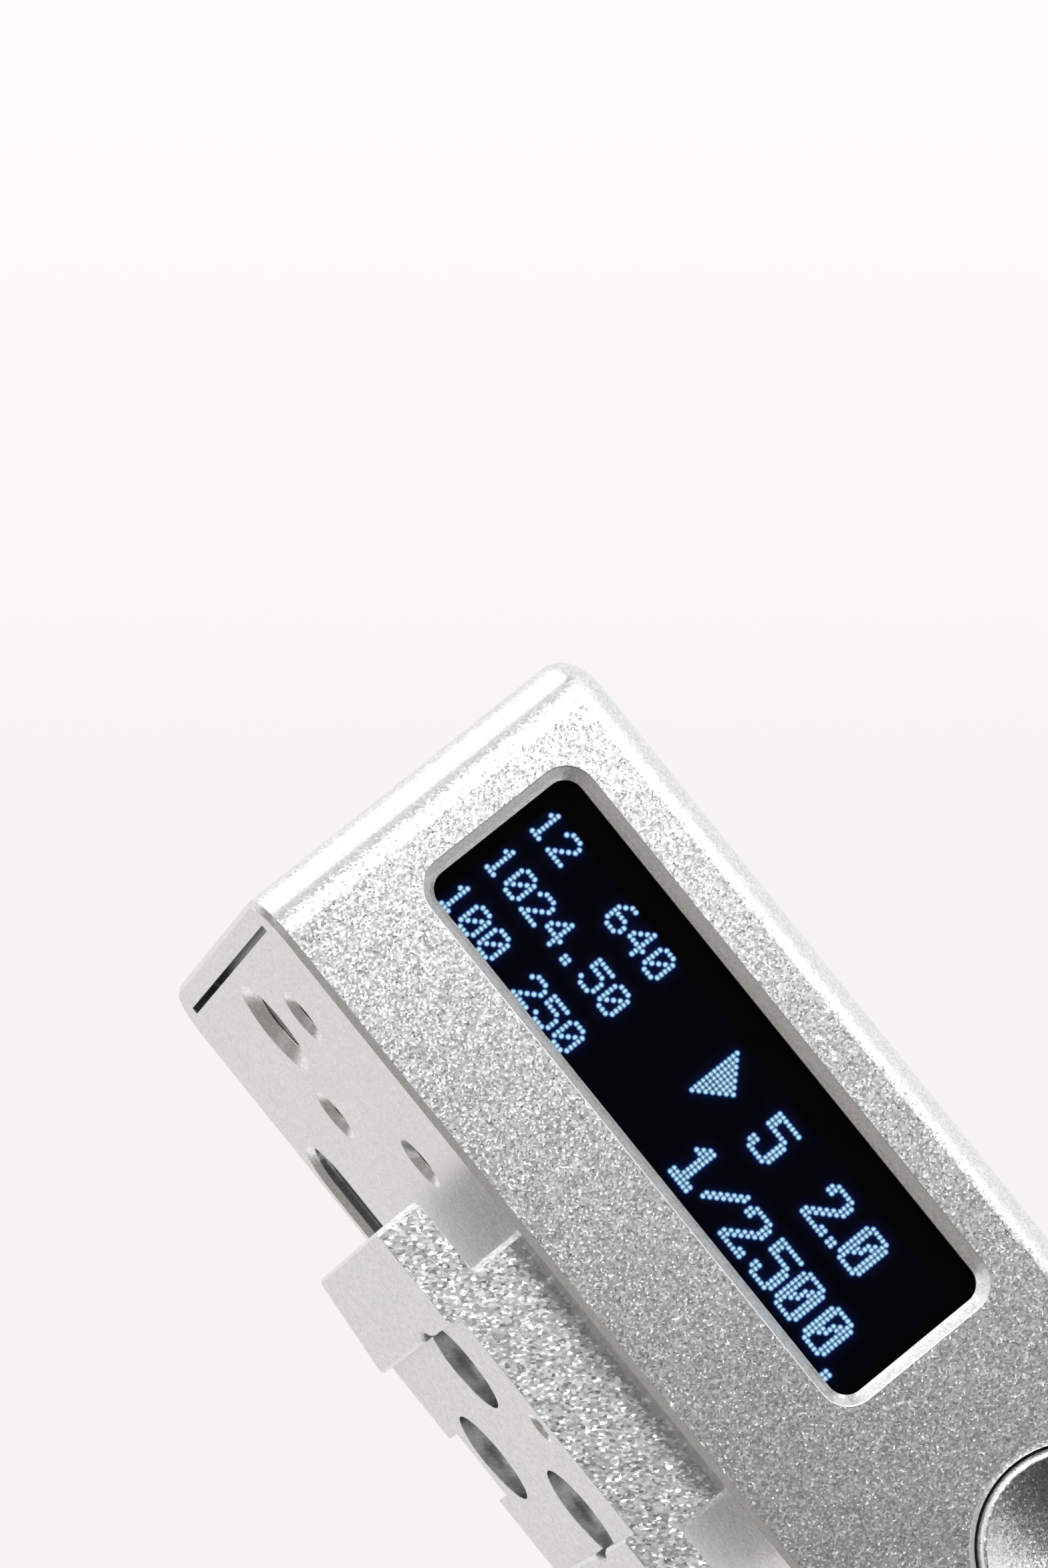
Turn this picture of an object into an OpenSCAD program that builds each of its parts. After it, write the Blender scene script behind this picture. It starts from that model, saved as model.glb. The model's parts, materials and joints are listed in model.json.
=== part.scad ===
// Shoe-mount exposure meter: a milled housing on an accessory-shoe foot.
// Millimetres. The origin is under the middle of the housing, on the plane that
// the foot's sole lies on. +Z is up, -Y faces the person who reads the display,
// and +Y faces the subject.

/* [Housing] */
// Length of the housing, left end to right end
body_l = 42.5; // [42:0.5:52]
// Depth of the housing, display side to subject side
body_d = 25; // [25:0.5:32]
// Height of the housing above the foot
body_h = 14.85; // [14.85:0.05:20]
// Thickness of the front wall
front_wall = 1.5; // [1.4:0.1:2]
// Thickness of the wall that the foot is screwed to
base_wall = 1.6; // [1.4:0.1:1.6]
// Thickness of the top wall
top_wall = 1.5; // [1.4:0.05:1.5]
// Thickness of the two end walls
end_wall = 2.25; // [2.2:0.05:2.4]
// Radius of the four upright edges
upright_r = 1.9; // [1.2:0.1:2]
// Radius of the top edges
top_r = 1.15; // [0.5:0.05:1.2]
// Chamfer round the base
base_chamfer = 0.22; // [0.1:0.02:0.5]
// Radius of the inner corners of the milled pocket
pocket_r = 1; // [0.6:0.1:1.2]

/* [Slit] */
// Distance from the left end of the housing to the slit in the base
slit_x = 0.95; // [0.8:0.05:1.2]
// Width of the slit
slit_w = 0.27; // [0.2:0.01:0.5]
// Depth of the slit
slit_depth = 1.3; // [0.5:0.1:3]
// Distance from the display side to the front end of the slit
slit_front = 1.75; // [1.5:0.05:3]
// Distance from the subject side to the rear end of the slit
slit_rear = 2.2; // [1.5:0.05:3]

/* [Display] */
// Length of the bevelled window opening
window_l = 24.3; // [24:0.1:25]
// Height of the bevelled window opening
window_h = 7.5; // [7.2:0.1:8.2]
// Corner radius of the window opening
window_r = 1.2; // [1:0.05:1.6]
// Width of the bevel round the window
window_bevel = 0.44; // [0.3:0.02:0.6]
// Depth of that bevel
bevel_depth = 0.4; // [0.2:0.02:0.5]
// Straight lip under the bevel
window_land = 0.06; // [0.06:0.02:0.2]
// Distance from the left end of the housing to the middle of the window
window_x = 15.2; // [15:0.1:15.5]
// Height of the middle of the window above the base
window_z = 8.5; // [8.2:0.1:8.8]
// Thickness of the window glass
glass_t = 0.4; // [0.3:0.05:0.6]
// How far the glass reaches past the opening on each side
glass_lap = 0.7; // [0.5:0.05:0.9]
// Thickness of the adhesive frame in front of the glass
adhesive_t = 0.05; // [0.05:0.01:0.1]
// Distance between the display's folded flex and the flange of the button
panel_clear = 0.57; // [0.3:0.01:1]
// Height of the display panel
panel_h = 11.5; // [10:0.1:11.6]
// Thickness of the display panel
panel_t = 1.2; // [1:0.1:1.5]
// Length of the panel's bonding ledge
ledge_l = 2.25; // [2:0.05:3]
// Width of the display flex
flex_w = 6; // [4:0.5:8]
// Thickness of the flexes
flex_t = 0.12; // [0.1:0.02:0.2]

/* [Button] */
// Radius of the button
button_r = 3.72; // [3:0.01:3.8]
// Radial gap round the button
button_gap = 0.08; // [0.05:0.01:0.1]
// Travel of the button
button_travel = 0.35; // [0.2:0.05:0.4]
// Distance from the right end of the housing to the button's axis
button_x = 6.35; // [6.1:0.05:6.6]
// Radius of the rounded rim of the button
button_rim = 0.32; // [0.2:0.02:0.6]
// Depth of the dish in the button
dish_depth = 0.55; // [0.3:0.05:0.7]
// Chamfer round the button's hole
button_chamfer = 0.22; // [0.1:0.02:0.3]
// Width of the hidden flange that holds the button in
button_flange = 0.4; // [0.3:0.05:0.5]

/* [Foot] */
// Width of the flange that slides into an accessory shoe
foot_w = 18; // [17.8:0.1:18.6]
// Length of the foot
foot_l = 17.3; // [16.5:0.1:18.5]
// Thickness of the flange
flange_t = 1.85; // [1.6:0.05:2]
// Width of the neck
neck_w = 11.8; // [11.4:0.1:12.4]
// Height of the neck between the flange and the base
neck_h = 2; // [1.9:0.05:2.4]
// Depth of the shallow channel along the sole
channel_depth = 0.45; // [0.3:0.05:0.6]
// Width of that channel
channel_w = 9.7; // [8.8:0.1:10.4]
// Distance from the display face back to the foot
foot_set_back = 1.2; // [0.8:0.1:2]
// Offset of the foot from the middle of the housing
foot_x = -0.35; // [-1:0.05:1]
// Length of the lead-in taper at each rear corner
lead_in_l = 2.1; // [1:0.1:3]
// Width of the lead-in taper
lead_in_w = 4.1; // [2:0.1:4.4]
// Width of the notch in the rear end
notch_w = 2.9; // [2:0.1:4]
// Depth of the notch in the rear end
notch_l = 1.9; // [1:0.1:2]
// Edge chamfer on the foot
foot_chamfer = 0.12; // [0.05:0.01:0.25]
// Chamfer on the front corners of the flange and the neck
corner_chamfer = 0.2; // [0.1:0.05:0.3]
// Spacing of the front pair of foot screws
screw_pitch = 6.7; // [6.4:0.1:7]
// Distance from the front pair to the rear foot screw
screw_row = 7.1; // [6.5:0.1:7.6]
// Distance between the three places where the foot can be screwed on
position_pitch = 13.3; // [13:0.1:13.5]

/* [Screws] */
// Radius of the tapped holes for the foot and carrier screws
tap_r = 0.8; // [0.7:0.05:0.9]
// Radius of the clearance holes for those screws
clear_r = 1.1; // [1.05:0.05:1.2]
// Head radius of the foot screws
foot_head_r = 1.78; // [1.6:0.02:1.85]
// Radius of the counterbores in the foot
counterbore_r = 1.92; // [1.88:0.02:2.1]
// Radius of the tapped holes for the small screws
small_tap_r = 0.55; // [0.5:0.05:0.6]
// Head radius of the small screws
small_head_r = 1.2; // [1:0.05:1.3]
// Distance from each end of the housing to the carrier screws
carrier_screw_inset = 3.75; // [3.6:0.05:4]
// Distance from the display face to the carrier screws
carrier_screw_row = 12.2; // [11.5:0.1:13]

/* [Charge socket] */
// Distance from the left end of the housing to the middle of the socket
socket_x = 12.5; // [12.4:0.1:13]
// Distance from the subject face to the middle of the socket
socket_y = 2.7; // [2.7:0.05:3.2]
// Length of the slot in the base
slot_l = 9.2; // [9.1:0.05:9.6]
// Width of the slot in the base
slot_w = 3.4; // [3.3:0.05:3.6]

/* [Light sensor] */
// Distance from the middle of the housing to the sensor's axis
sensor_x = 8.5; // [6:0.1:9.5]
// Radius of the hole in the rear cover
sensor_r = 3.6; // [3.4:0.1:3.8]
// Thickness of the rear cover
cover_t = 0.9; // [0.7:0.05:1]

/* [Inside] */
// Thickness of the main board
main_board_t = 1; // [0.8:0.1:1.2]
// Thickness of the rear board
rear_board_t = 0.8; // [0.6:0.1:1]
// Thickness of the carrier's floor
carrier_floor = 0.9; // [0.8:0.1:1.2]
// Thickness of the foam behind the display
pad_t = 2.2; // [2.1:0.1:2.6]
// Clearance round pieces that drop into the housing
fit = 0.06; // [0.04:0.01:0.1]

/* [Hidden] */
$fn = 64;

over = 1; // how far a cutting tool runs past the face that it cuts
merge = 0.1; // how far two solids of one piece run into each other
thread_gap = 0.03; // radial gap that stands for the thread

// Levels and faces of the housing
base_z = flange_t + neck_h;
top_z = base_z + body_h;
front_y = -body_d / 2;
rear_y = body_d / 2;
left_x = -body_l / 2;
in_x = body_l / 2 - end_wall;
in_y = front_y + front_wall;
in_z0 = base_z + base_wall;
in_z1 = top_z - top_wall;
in_h = in_z1 - in_z0;
in_mid_z = (in_z0 + in_z1) / 2;
axis_z = base_z + window_z; // common height of window, button and sensor

// Button
button_cx = body_l / 2 - button_x;
button_hole_r = button_r + button_gap;
flange_r = button_hole_r + button_flange;
button_face = front_y + 0.05;

// Display stack, from the front face inwards
window_cx = left_x + window_x;
land_l = window_l - 2 * window_bevel;
land_h = window_h - 2 * window_bevel;
land_r = window_r - window_bevel;
lip_y = front_y + bevel_depth + window_land;
glass_y = lip_y + adhesive_t;
glass_back = glass_y + glass_t;
stack_gap = 0.02;
panel_y = glass_back + stack_gap;
panel_back = panel_y + panel_t;
ledge_y = panel_y + panel_t / 2;
panel_low = in_z0 + panel_h / 2 + fit;
panel_high = in_z1 - panel_h / 2 - fit;
panel_z = min(max(axis_z - 0.85, panel_low), panel_high);

// Display flex: bonded to the front of the ledge, folded round it, plugged in behind.
// The panel fills the room between the left wall and the button.
flex_front = ledge_y - flex_t;
flex_back = panel_back + 0.07;
fold_r = (flex_back + flex_t - flex_front) / 2;
fold_x = button_cx - flange_r - panel_clear - fold_r;
panel_x0 = -in_x + 0.15;
panel_x1 = fold_x - 0.03;
turn_r = 0.5;
turn_x = panel_x1 - 3.75;
connector_t = 1.35;
connector_w = 1.8;
connector_x = turn_x - turn_r + flex_t / 2;

// Rear cover and the bosses that it is screwed to
cover_y = rear_y - cover_t;
boss_w = 3;
boss_r = 1.6;
boss_x = in_x - boss_w + boss_r;
boss_zs = [in_z0 + boss_w - boss_r, in_z1 - boss_w + boss_r];
cover_screw_l = 4;

// Boards
board_y = panel_back + stack_gap + pad_t + stack_gap;
board_back = board_y + main_board_t;
board_h = in_h - 0.8;
shell_w = 3.16;
rear_board_back = rear_y - socket_y - shell_w / 2;
rear_board_y = rear_board_back - rear_board_t;
rear_board_l = 2 * (in_x - boss_w - 0.3);
boss_y = rear_board_y - 3.4;

// Switch and the button's stem
gasket_t = 0.3;
flange_y = in_y + gasket_t + stack_gap;
button_flange_t = 0.5;
switch_w = 3.8;
switch_t = 1.2;
switch_floor = 0.25;
plunger_r = 1.1;
plunger_out = button_travel + 0.05;
switch_y = board_y - switch_t;
stem_end = switch_y - plunger_out;
plunger_end = board_y - switch_floor - 0.1 - button_travel;

// Carrier, its screws and the screws of the boards
board_head_t = 0.6;
board_bite = 1.6;
carrier_head_t = 0.6;
carrier_screw_l = 4.2;
carrier_x = in_x - pocket_r;
carrier_top = in_z0 + carrier_floor;
carrier_screw_x = body_l / 2 - carrier_screw_inset;
carrier_screw_y = front_y + carrier_screw_row;
carrier_boss_w = 2.1;
carrier_boss_h = 3;
post_w = 2.8;
post_x = carrier_x - post_w / 2;
post_z = in_z1 - 1.7;
post_depth = 2;
rear_post_w = 2.3;
rear_post_x = rear_board_l / 2 - rear_post_w / 2;
rear_post_z = carrier_top + 3.85;

// Battery, on its adhesive tape
tape_t = 0.2;
tape_end = 2;
tape_side = 1;
lead_r = 0.35;
lead_drop = 1.2;
lead_pitch = 1.6;
cell_x = carrier_screw_x - carrier_boss_w - 1.9;
cell_y0 = board_back + 1.2;
cell_y1 = rear_board_y - 2.9;
cell_z0 = carrier_top + tape_t;
cell_z1 = in_z1 - 1.3;

// Controller chip, and the flex between the two boards
chip_x = -cell_x + 7.5;
chip_w = 5;
chip_t = 0.9;
link_x = -cell_x + 4.5;
link_w = 6;
link_z = in_z1 - 0.9;
link_reach = 1;

// Foot
foot_y0 = front_y + foot_set_back;
foot_y1 = foot_y0 + foot_l;
screw_y = foot_y0 + 5.5;
counterbore_z = flange_t + 0.55;
foot_head_t = 1.2;
pin_hole_y = foot_y0 + 1.35;

// Charge socket
socket_cx = left_x + socket_x;
socket_cy = rear_y - socket_y;
shell_l = 8.94;
shell_t = 0.3;
shell_round = 0.1;
socket_depth = 7.3;
socket_back_t = 0.8;
socket_z0 = base_z + 0.6;
tongue_l = 6.69;
tongue_t = 0.7;
tongue_recess = 0.5;

// Light sensor, from the rear face inwards
bezel_gap = 0.05;
bezel_lip = 0.3;
bezel_flange = 0.8;
bezel_back = cover_y - 0.5;
lens_r = sensor_r - 0.65;
mouth_r = lens_r - 0.45;
lens_t = 0.5;
filter_t = 0.4;
lens_y = rear_y - bezel_lip - lens_t;
filter_y = lens_y - filter_t;

// Colours
aluminium = [0.78, 0.79, 0.8];
bright_metal = [0.86, 0.86, 0.87];
steel = [0.55, 0.56, 0.58];
board_green = [0.05, 0.22, 0.12];
black_plastic = [0.06, 0.06, 0.07];
ivory_plastic = [0.85, 0.83, 0.76];
amber_film = [0.72, 0.4, 0.1];

// A rectangle with round corners, centred
module rounded(l, w, r) {
    square([l - 2 * r, w], center = true);
    square([l, w - 2 * r], center = true);
    for (x = [-1, 1], y = [-1, 1])
        translate([x * (l / 2 - r), y * (w / 2 - r)]) circle(r);
}

// A plate that stands in the XZ plane, from y = 0 to y = t, centred in X and Z
module upright_plate(l, h, r, t) {
    translate([0, t, 0]) rotate([90, 0, 0]) linear_extrude(t) rounded(l, h, r);
}

// A rod along +Y, from y0 to y1
module rod_y(r, y0, y1) {
    translate([0, y0, 0]) rotate([-90, 0, 0]) cylinder(r = r, h = y1 - y0);
}

// A cone along +Y, from y0 to y1, that narrows by as much as it runs
module cone_y(r, y0, y1) {
    translate([0, y0, 0]) rotate([-90, 0, 0]) cylinder(r1 = r, r2 = r - y1 + y0, h = y1 - y0);
}

// A box given by its two opposite corners
module span(a, b) {
    translate(a) cube(b - a);
}

// The children, and their mirror image on the other side of the housing
module both_ends() {
    children();
    mirror([1, 0, 0]) children();
}

// A slab with round corners whose rim has the section of children(): x runs
// outwards from the corner's centre, from 0 to r, and y runs up, from 0 to h
module rimmed_slab(l, w, r, h) {
    cx = l / 2 - r;
    cy = w / 2 - r;
    for (side = [[0, cx, cy], [90, cy, cx], [180, cx, cy], [270, cy, cx]])
        rotate([0, 0, side[0]]) translate([side[1], side[2], 0]) {
            rotate_extrude(angle = 90) children();
            rotate([90, 0, 0]) linear_extrude(2 * side[2]) children();
        }
    translate([-cx, -cy, 0]) cube([2 * cx, 2 * cy, h]);
}

// A shallow funnel, bevel wide all round, whose mouth at z = depth is an l x w opening
module funnel(l, w, r, bevel, depth) {
    rimmed_slab(l, w, r, depth + over)
        polygon([
            [0, 0], [r - bevel, 0], [r, depth], [r, depth + over], [0, depth + over]
        ]);
}

// Centres of the three foot screws, for a foot whose middle is at x = cx
function screw_places(cx) = [
    [cx - screw_pitch / 2, screw_y],
    [cx + screw_pitch / 2, screw_y],
    [cx, screw_y + screw_row]
];

// The blank that the housing is milled from
module housing_blank() {
    edge_x = upright_r - top_r;
    edge_z = body_h - top_r;
    translate([0, 0, base_z]) rimmed_slab(body_l, body_d, upright_r, body_h) {
        union() {
            polygon([
                [0, 0], [upright_r - base_chamfer, 0], [upright_r, base_chamfer],
                [upright_r, edge_z], [edge_x, body_h], [0, body_h]
            ]);
            translate([edge_x, edge_z]) intersection() {
                circle(top_r);
                square(top_r);
            }
        }
    }
}

// The pocket milled in from the subject side, round the four corner bosses
module pocket() {
    difference() {
        translate([0, in_y, in_mid_z])
            upright_plate(2 * in_x, in_h, pocket_r, rear_y - in_y + over);
        for (sx = [-1, 1], z = [in_z0, in_z1])
            translate([sx * in_x, boss_y, z])
                upright_plate(2 * boss_w, 2 * boss_w, boss_r, cover_y - boss_y);
    }
}

// The bevelled window, the seat of its glass and the recess for the panel
module window_cut() {
    translate([window_cx, front_y + bevel_depth, axis_z]) rotate([90, 0, 0])
        funnel(window_l, window_h, window_r, window_bevel, bevel_depth);
    translate([window_cx, front_y, axis_z])
        upright_plate(land_l, land_h, land_r, front_wall + over);
    translate([window_cx, lip_y, axis_z])
        upright_plate(land_l + 2 * (glass_lap + fit), land_h + 2 * (glass_lap + fit),
                      window_r + fit, front_wall);
    span([panel_x0 - fit, glass_back, panel_z - panel_h / 2 - fit],
         [fold_x + fold_r + fit, in_y + over, panel_z + panel_h / 2 + fit]);
}

module button_cut() {
    translate([button_cx, 0, axis_z]) {
        rod_y(button_hole_r, front_y - over, in_y + over);
        cone_y(button_hole_r + button_chamfer + over, front_y - over, front_y + button_chamfer);
    }
}

// Tapped holes for the foot in its three places; the two spare sets are countersunk
module foot_holes() {
    sink_r = tap_r + 0.3;
    for (place = [-1, 0, 1])
        for (p = screw_places(foot_x + place * position_pitch))
            translate([p[0], p[1], base_z - over]) {
                cylinder(r = tap_r, h = base_wall + 2 * over);
                if (place != 0)
                    cylinder(r1 = sink_r + over, r2 = tap_r, h = sink_r + over - tap_r);
            }
}

// Stepped holes for the two screws that hold the carrier
module carrier_holes() {
    step_r = small_head_r + 0.3;
    mouth = 0.45;
    both_ends() translate([carrier_screw_x, carrier_screw_y, base_z - over]) {
        cylinder(r = clear_r, h = base_wall + 2 * over);
        cylinder(r = step_r, h = over + 1.1);
        cylinder(r1 = step_r + mouth + over, r2 = step_r, h = over + mouth);
    }
}

// The slot for the charging plug
module slot_cut() {
    slot_r = slot_w / 2 - shell_round;
    bevel = 0.25;
    translate([socket_cx, socket_cy, base_z - over])
        linear_extrude(base_wall + 2 * over) rounded(slot_l, slot_w, slot_r);
    translate([socket_cx, socket_cy, base_z + bevel]) mirror([0, 0, 1])
        funnel(slot_l + 2 * bevel, slot_w + 2 * bevel, slot_r + bevel, bevel, bevel);
}

module housing() {
    color(aluminium) difference() {
        housing_blank();
        pocket();
        window_cut();
        button_cut();
        foot_holes();
        carrier_holes();
        slot_cut();
        both_ends() for (z = boss_zs)
            translate([boss_x, 0, z]) rod_y(small_tap_r, boss_y + 1, cover_y + over);
        span([left_x + slit_x, front_y + slit_front, base_z - over],
             [left_x + slit_x + slit_w, rear_y - slit_rear, base_z + slit_depth]);
    }
}

// The cover that closes the subject side
module rear_cover() {
    sink_r = small_head_r + 0.03;
    hole_r = small_tap_r + 0.2;
    color(aluminium) difference() {
        translate([0, cover_y, in_mid_z])
            upright_plate(2 * (in_x - fit), in_h - 2 * fit, pocket_r - fit, cover_t);
        both_ends() for (z = boss_zs) translate([boss_x, 0, z]) {
            rod_y(hole_r, cover_y - over, rear_y + over);
            mirror([0, 1, 0]) cone_y(sink_r + over, -rear_y - over, -rear_y + sink_r - hole_r);
        }
        translate([sensor_x, 0, axis_z]) rod_y(sensor_r, cover_y - over, rear_y + over);
    }
}

// The hex recess in a screw's head, sunk along +Z from z = 0
module hex_recess(r, depth) {
    translate([0, 0, -over]) cylinder(r = r, h = over + depth, $fn = 6);
}

module rear_cover_screws() {
    head_t = small_head_r - small_tap_r - 0.17;
    color(steel) both_ends() for (z = boss_zs)
        translate([boss_x, rear_y, z]) rotate([90, 0, 0]) difference() {
            union() {
                cylinder(r1 = small_head_r, r2 = small_head_r - head_t, h = head_t);
                cylinder(r = small_tap_r - thread_gap, h = cover_screw_l);
            }
            hex_recess(0.5, 0.3);
        }
}

// The outline that the glass and its adhesive share
module glass_outline(t) {
    upright_plate(land_l + 2 * glass_lap, land_h + 2 * glass_lap, window_r, t);
}

module window_glass() {
    color([0.1, 0.12, 0.16, 0.5]) translate([window_cx, glass_y, axis_z])
        glass_outline(glass_t);
}

module window_adhesive() {
    color(black_plastic) difference() {
        translate([window_cx, lip_y, axis_z]) glass_outline(adhesive_t);
        translate([window_cx, lip_y - over, axis_z])
            upright_plate(land_l, land_h, land_r, adhesive_t + 2 * over);
    }
}

module display_panel() {
    color([0.02, 0.02, 0.03]) difference() {
        span([panel_x0, panel_y, panel_z - panel_h / 2],
             [panel_x1, panel_back, panel_z + panel_h / 2]);
        span([panel_x1 - ledge_l, panel_y - over, panel_z - panel_h],
             [panel_x1 + over, ledge_y, panel_z + panel_h]);
    }
}

// A quarter or half of a flex's bend: the ring of radius r inside the square at corner
module flex_bend(r, corner) {
    intersection() {
        difference() {
            circle(r);
            circle(r - flex_t);
        }
        translate(corner) square(2 * r);
    }
}

module display_flex() {
    bond = 1.75;
    color(amber_film) translate([0, 0, panel_z - flex_w / 2]) linear_extrude(flex_w) {
        translate([panel_x1 - bond, flex_front]) square([fold_x - panel_x1 + bond, flex_t]);
        translate([fold_x, flex_front + fold_r]) flex_bend(fold_r, [0, -fold_r]);
        translate([turn_x, flex_back]) square([fold_x - turn_x, flex_t]);
        translate([turn_x, flex_back + turn_r]) flex_bend(turn_r, [-2 * turn_r, -2 * turn_r]);
        translate([turn_x - turn_r, flex_back + turn_r])
            square([flex_t, board_y - 0.8 - flex_back - turn_r]);
    }
}

module display_connector() {
    half = flex_w / 2;
    mouth = flex_t / 2 + 0.03;
    color(ivory_plastic) translate([connector_x, board_y, panel_z]) difference() {
        span([-connector_w / 2, -connector_t, -half - 0.6], [connector_w / 2, 0, half + 0.6]);
        span([-mouth, -connector_t - over, -half - fit], [mouth, -0.75, half + fit]);
    }
}

module display_pad() {
    border = 1.5;
    color([0.2, 0.2, 0.21])
        span([post_w - carrier_x, panel_back + stack_gap, panel_z - panel_h / 2 + border],
             [turn_x - 2.4, board_y - stack_gap, panel_z + panel_h / 2 - border]);
}

// Cuts away what would meet the right end wall
module clear_of_end_wall() {
    difference() {
        children();
        span([in_x - button_gap, front_y, base_z], [in_x + over, rear_y, top_z]);
    }
}

// The dished button. Behind the front wall it has the flange that keeps it in, with
// a flat that stops it turning, and the stem that works the switch
module button_cap() {
    dish_r = button_r - button_rim;
    ball_r = (dish_r * dish_r + dish_depth * dish_depth) / (2 * dish_depth);
    skirt = flange_y - button_face + merge;
    color(bright_metal) clear_of_end_wall() translate([button_cx, 0, axis_z]) difference() {
        union() {
            translate([0, button_face, 0]) rotate([-90, 0, 0]) rotate_extrude() {
                polygon([
                    [0, 0], [dish_r, 0], [button_r, button_rim], [button_r, skirt], [0, skirt]
                ]);
                translate([dish_r, button_rim]) intersection() {
                    circle(button_rim);
                    translate([0, -button_rim]) square(button_rim);
                }
            }
            rod_y(flange_r, flange_y, flange_y + button_flange_t);
            rod_y(plunger_r, flange_y, stem_end);
        }
        translate([0, button_face + dish_depth - ball_r, 0]) sphere(ball_r, $fn = 160);
    }
}

module button_gasket() {
    color([0.12, 0.12, 0.13]) clear_of_end_wall() translate([button_cx, 0, axis_z]) difference() {
        rod_y(flange_r, in_y, in_y + gasket_t);
        rod_y(button_hole_r, in_y - over, in_y + gasket_t + over);
    }
}

module switch_body() {
    half = switch_w / 2;
    color(steel) translate([button_cx, 0, axis_z]) difference() {
        span([-half, switch_y, -half], [half, board_y, half]);
        rod_y(plunger_r + button_gap, switch_y - over, board_y - switch_floor);
    }
}

module switch_plunger() {
    color(black_plastic) translate([button_cx, 0, axis_z])
        rod_y(plunger_r, stem_end, plunger_end);
}

module main_board() {
    color(board_green) difference() {
        translate([0, board_y, in_mid_z])
            upright_plate(2 * carrier_x, board_h, 0.6, main_board_t);
        both_ends() translate([post_x, 0, post_z])
            rod_y(small_tap_r + 0.15, board_y - over, board_back + over);
    }
}

module main_chip() {
    half = chip_w / 2;
    color(black_plastic) translate([chip_x, board_back, in_mid_z])
        span([-half, 0, -half], [half, chip_t, half]);
}

module rear_board() {
    color(board_green) difference() {
        translate([0, rear_board_y, in_mid_z])
            upright_plate(rear_board_l, board_h, 0.6, rear_board_t);
        both_ends() translate([rear_post_x, 0, rear_post_z])
            rod_y(small_tap_r + 0.15, rear_board_y - over, rear_board_back + over);
    }
}

// A round-headed screw along +Y, with the underside of its head at y = 0
module board_screw(l) {
    rotate([-90, 0, 0]) difference() {
        union() {
            translate([0, 0, -board_head_t]) cylinder(r = small_head_r - 0.1, h = board_head_t);
            translate([0, 0, -merge]) cylinder(r = small_tap_r - thread_gap, h = l + merge);
        }
        translate([0, 0, -board_head_t]) hex_recess(0.5, 0.3);
    }
}

module board_screws() {
    color(steel) both_ends() {
        translate([post_x, board_y, post_z]) board_screw(main_board_t + board_bite);
        translate([rear_post_x, rear_board_back, rear_post_z])
            mirror([0, 1, 0]) board_screw(rear_board_t + board_bite);
    }
}

module link_flex() {
    color(amber_film) translate([link_x, 0, link_z])
        span([-link_w / 2, board_back + 0.3, 0], [link_w / 2, rear_board_y - 0.3, flex_t]);
}

module link_connectors() {
    half = link_w / 2;
    color(ivory_plastic) translate([link_x, 0, link_z]) difference() {
        for (y = [board_back, rear_board_y - link_reach])
            span([-half - 0.6, y, -0.3], [half + 0.6, y + link_reach, 0.45]);
        span([-half - fit, board_back + 0.25, -0.03],
             [half + fit, rear_board_y - 0.25, flex_t + 0.03]);
    }
}

// The moulded carrier that the boards and the cell are mounted on
module carrier() {
    floor_y1 = boss_y - 0.3;
    rail_w = 1;
    root_z = carrier_top - merge;
    color(black_plastic) difference() {
        union() {
            span([-carrier_x, board_back, in_z0], [carrier_x, floor_y1, carrier_top]);
            span([-rear_board_l / 2, floor_y1 - merge, in_z0],
                 [rear_board_l / 2, rear_board_y, carrier_top]);
            both_ends() {
                span([carrier_screw_x - carrier_boss_w, carrier_screw_y - carrier_boss_w, root_z],
                     [carrier_x, carrier_screw_y + carrier_boss_w, carrier_top + carrier_boss_h]);
                span([carrier_x - post_w, board_back, root_z],
                     [carrier_x, board_back + post_depth, in_z1 - 0.5]);
                span([carrier_x - rail_w, board_back, root_z],
                     [carrier_x, carrier_screw_y, carrier_top + carrier_boss_h]);
                translate([rear_post_x, rear_board_y, 0])
                    span([-rear_post_w / 2, -post_depth, root_z],
                         [rear_post_w / 2, 0, rear_post_z + 1.6]);
            }
        }
        both_ends() {
            translate([carrier_screw_x, carrier_screw_y, in_z0 - over])
                cylinder(r = tap_r, h = over + 3.5);
            translate([post_x, 0, post_z])
                rod_y(small_tap_r, board_back - over, board_back + post_depth - 0.2);
            translate([rear_post_x, 0, rear_post_z])
                rod_y(small_tap_r, rear_board_y - post_depth + 0.2, rear_board_y + over);
        }
    }
}

module carrier_screws() {
    head_z = base_z + 0.5;
    color(steel) both_ends() translate([carrier_screw_x, carrier_screw_y, head_z]) difference() {
        union() {
            cylinder(r = small_head_r + 0.2, h = carrier_head_t);
            cylinder(r = tap_r - thread_gap, h = carrier_screw_l);
        }
        hex_recess(0.6, 0.35);
    }
}

module battery_cell() {
    color([0.7, 0.72, 0.75]) span([-cell_x, cell_y0, cell_z0], [cell_x, cell_y1, cell_z1]);
}

module battery_tape() {
    color([0.9, 0.9, 0.85])
        span([tape_end - cell_x, cell_y0 + tape_side, carrier_top],
             [cell_x - tape_end, cell_y1 - tape_side, cell_z0]);
}

// Two leads from the cell's right end back to the rear board
module battery_leads() {
    bend_r = 0.9;
    stub = 0.4;
    start_y = cell_y1 - 4;
    color([0.7, 0.08, 0.06]) for (k = [0, 1])
        translate([cell_x, start_y, cell_z1 - lead_drop - k * lead_pitch]) {
            rotate([0, 90, 0]) cylinder(r = lead_r, h = stub);
            translate([stub, bend_r, 0]) rotate([0, 0, -90])
                rotate_extrude(angle = 90) translate([bend_r, 0]) circle(lead_r);
            translate([stub + bend_r, 0, 0]) rod_y(lead_r, bend_r, rear_board_y - start_y);
        }
}

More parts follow.
